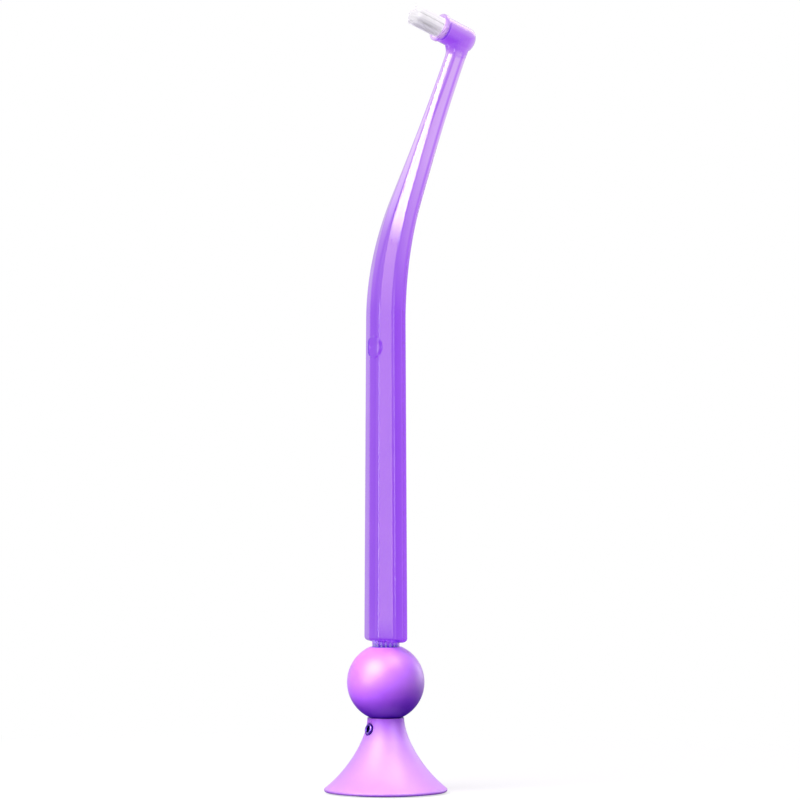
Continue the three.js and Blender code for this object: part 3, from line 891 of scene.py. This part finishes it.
keptNodes = {
    "socket_core": matPlastic("moulded_core", coreLook),
    "foot_weight": turnedMetal("turned_steel", steel),
    "core_screw": turnedMetal("screw_steel", steel),
    "base_pad": softMoulding("matt_pad", padLook),
}
for node, material in keptNodes.items():
    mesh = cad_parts[node].data
    mesh.materials.clear()
    mesh.materials.append(material)
print("materials of the carried-over nodes are set")


# Camera, at the photo's angle
view = dict(azimuth=math.radians(-31.5), distance=1.05, height=0.0943, right=0.00342, span=0.192)
view.update(sensor=36, nearest=0.01)
right = Vector((math.cos(view["azimuth"]), math.sin(view["azimuth"]), 0))
toward = Vector((math.sin(view["azimuth"]), -math.cos(view["azimuth"]), 0))
up = Vector((0, 0, 1))
aim = right * view["right"] + up * view["height"]
camera = placed("camera", bpy.data.cameras.new("camera"))
camera.data.sensor_width = view["sensor"]
camera.data.lens = view["sensor"] * view["distance"] / view["span"]
camera.data.clip_start = view["nearest"]
camera.location = aim + toward * view["distance"]
camera.rotation_euler = (math.pi / 2, 0, view["azimuth"])
scene.camera = camera


# A lamp lights the pieces that are linked to it, or all but the excluded ones
def linked(name, pieces, state):
    group = bpy.data.collections.new(name)
    for piece in pieces:
        group.objects.link(piece)
    for item in group.collection_objects:
        item.light_linking.link_state = state
    return group


# Soft box, placed by right, up and toward as the camera sees it, fading towards its edges
def softBox(name, pieces, state, place, size, glow, aimHeight, fade, colour=(1, 1, 1)):
    lamp = bpy.data.lights.new(name, "AREA")
    lamp.shape = "RECTANGLE"
    lamp.size, lamp.size_y = size
    lamp.energy = glow * math.pi * size[0] * size[1]
    lamp.color = colour
    lamp.use_nodes = True
    lamp.node_tree.nodes.clear()
    sheet = Sheet(lamp.node_tree)
    spot = sheet.split(sheet.put("ShaderNodeNewGeometry", out="Parametric"))
    level = 1.0
    for axis in "XY":
        level = level * sheet.ramp((spot.other(axis) - 0.5).maths("ABSOLUTE"), 0.5, 0.5 - fade)
    shine = sheet.put("ShaderNodeEmission", inputs={"Color": level, "Strength": 1.0})
    sheet.put("ShaderNodeOutputLight", inputs={"Surface": shine})
    obj = placed(name, lamp)
    obj.location = right * place[0] + up * place[1] + toward * place[2]
    obj.rotation_euler = (obj.location - up * aimHeight).to_track_quat("Z", "Y").to_euler()
    obj.visible_transmission = False
    obj.visible_camera = False
    obj.light_linking.receiver_collection = linked(name + "_lit", pieces, state)
    if name != "key":
        obj.light_linking.blocker_collection = letThrough


# The clear plastic casts a shadow under the key lamp alone
clear = [handle, ribs]
footSkin = [standPieces[1][0]]
letThrough = linked("let_through", clear, "EXCLUDE")
keyBox = dict(place=(-0.375, 0.537, 0.4), size=(0.85, 0.65), aimHeight=0.03, fade=0.3)
leftBox = dict(place=(-0.6, 0.1, 0.45), size=(0.5, 0.5), aimHeight=0.03, fade=0.25)
topBox = dict(place=(0.26, 0.75, 0.2), size=(0.5, 0.5), aimHeight=0.03, fade=0.2)
rightBox = dict(place=(0.45, 0.12, -0.384), size=(0.4, 0.4), aimHeight=0.03, fade=0.3)
lowBox = dict(place=(0.5, 0.3, 0.5), size=(0.5, 0.5), aimHeight=0.01, fade=0.25)
softBox("key", clear + footSkin, "EXCLUDE", **keyBox, glow=10.0)
softBox("footKey", footSkin, "INCLUDE", **keyBox, glow=6.4)
softBox("footLeft", footSkin, "INCLUDE", **leftBox, glow=2.9)
softBox("fill", clear + footSkin, "EXCLUDE", **leftBox, glow=5.6)
softBox("top", clear, "EXCLUDE", **topBox, glow=5.2)
softBox("right", clear, "EXCLUDE", **rightBox, glow=2.2)
softBox("low", footSkin, "INCLUDE", **lowBox, glow=3.6)
plasticLamps = {
    "stripe": dict(place=(-0.432, 0.503, 0.198), size=(0.56, 0.28), glow=18.0, aimHeight=0.15, fade=0.35),
    "left": dict(place=(-0.297, 0.25, 0.038), size=(0.06, 0.5), glow=3.8, aimHeight=0.25, fade=0.05),
    "edge": dict(place=(-0.39, 0.07, -0.08), size=(0.1, 0.2), glow=4.0, aimHeight=0.07, fade=0.1),
    "line": dict(place=(0.0, 0.1, 0.9), size=(0.7, 0.5), glow=5.0, aimHeight=0.1, fade=0.3),
    "back": dict(place=(-0.24, 0.25, -0.44), size=(0.1, 0.5), glow=0.15, aimHeight=0.25, fade=0.05),
    "neckFront": dict(place=(-0.36, 0.36, -0.27), size=(0.18, 0.18), glow=1.5, aimHeight=0.16, fade=0.4),
    "rim": dict(place=(0.458, 0.671, -0.456), size=(0.9, 0.9), glow=3.2, aimHeight=0.183, fade=0.35),
}
plasticLamps["left"].update(colour=(1, 0.8, 0.3))
tuftLamps = {
    "tuftAbove": dict(place=(-0.06, 0.26, 0.09), size=(0.05, 0.1), glow=5.0, aimHeight=0.185, fade=0.2),
    "tuftBelow": dict(place=(0.09, 0.12, 0.17), size=(0.08, 0.08), glow=13.0, aimHeight=0.19, fade=0.2),
}
for pieces, lamps in ((clear, plasticLamps), ([strands], tuftLamps)):
    for name, settings in lamps.items():
        softBox(name, pieces, "INCLUDE", **settings)


# White to the camera, through the plastic and partly in mirrors, so that it lights less than it shows
def whiteSeen(sheet, mirrored):
    path = sheet.put("ShaderNodeLightPath")
    seen = path.other("Is Camera Ray").atLeast(path.other("Is Transmission Ray"))
    return seen.atLeast(path.other("Is Glossy Ray") * mirrored)


studio = dict(dim=(0.85, 0.6, 1.0, 1), dimStrength=0.3, white=(1, 1, 1, 1), mirrored=0.6)
world = bpy.data.worlds.new("studio")
world.use_nodes = True
world.node_tree.nodes.clear()
sheet = Sheet(world.node_tree)
inputs = {"Color": studio["dim"], "Strength": studio["dimStrength"]}
dim = sheet.put("ShaderNodeBackground", inputs=inputs)
white = sheet.put("ShaderNodeBackground", inputs={"Color": studio["white"], "Strength": 1.0})
shown = sheet.put("ShaderNodeMixShader", inputs={0: whiteSeen(sheet, studio["mirrored"]), 1: dim, 2: white})
sheet.put("ShaderNodeOutputWorld", inputs={"Surface": shown})
scene.world = world

# The floor is white to the camera further out, and keeps a soft shadow round the foot. To bounced and
# mirrored light it is dark violet near the stand, a painted shade, and grey further out
ground = dict(pale=(0.85, 0.85, 0.86, 1), near=(0.05, 0.01, 0.2, 1), far=(0.3, 0.29, 0.32, 1), reach=40000)
floorMaterial, sheet = newMaterial("pale_floor")
away = sheet.put("ShaderNodeVectorMath", {"operation": "LENGTH"}, {0: objectWhere(sheet)}, out="Value")
share = sheet.ramp(away, low=0.02, high=0.2, first=0.7, last=1.0)
pale = sheet.put("ShaderNodeBsdfDiffuse", inputs={"Color": ground["pale"]})
glow = sheet.put("ShaderNodeEmission", inputs={"Color": studio["white"], "Strength": 1.0})
lit = sheet.put("ShaderNodeMixShader", inputs={0: share, 1: pale, 2: glow})
# Painted shade: the tone seen in bounces and mirrors is near-black violet close to the stand
tone = sheet.blend(sheet.ramp(away, low=0.05, high=0.25), ground["near"], ground["far"])
dull = sheet.put("ShaderNodeBsdfDiffuse", inputs={"Color": tone})
mirrored = sheet.ramp(away, low=0.03, high=0.3, last=studio["mirrored"])
shown = sheet.put("ShaderNodeMixShader", inputs={0: whiteSeen(sheet, mirrored), 1: dull, 2: lit})
sheet.put("ShaderNodeOutputMaterial", inputs={"Surface": shown})
corners = [(x * ground["reach"], y * ground["reach"], 0) for x, y in ((-1, -1), (1, -1), (1, 1), (-1, 1))]
floor = meshObject("floor", corners, [(0, 1, 2, 3)])
floor.data.materials.append(floorMaterial)
print("camera, lights and floor are set")
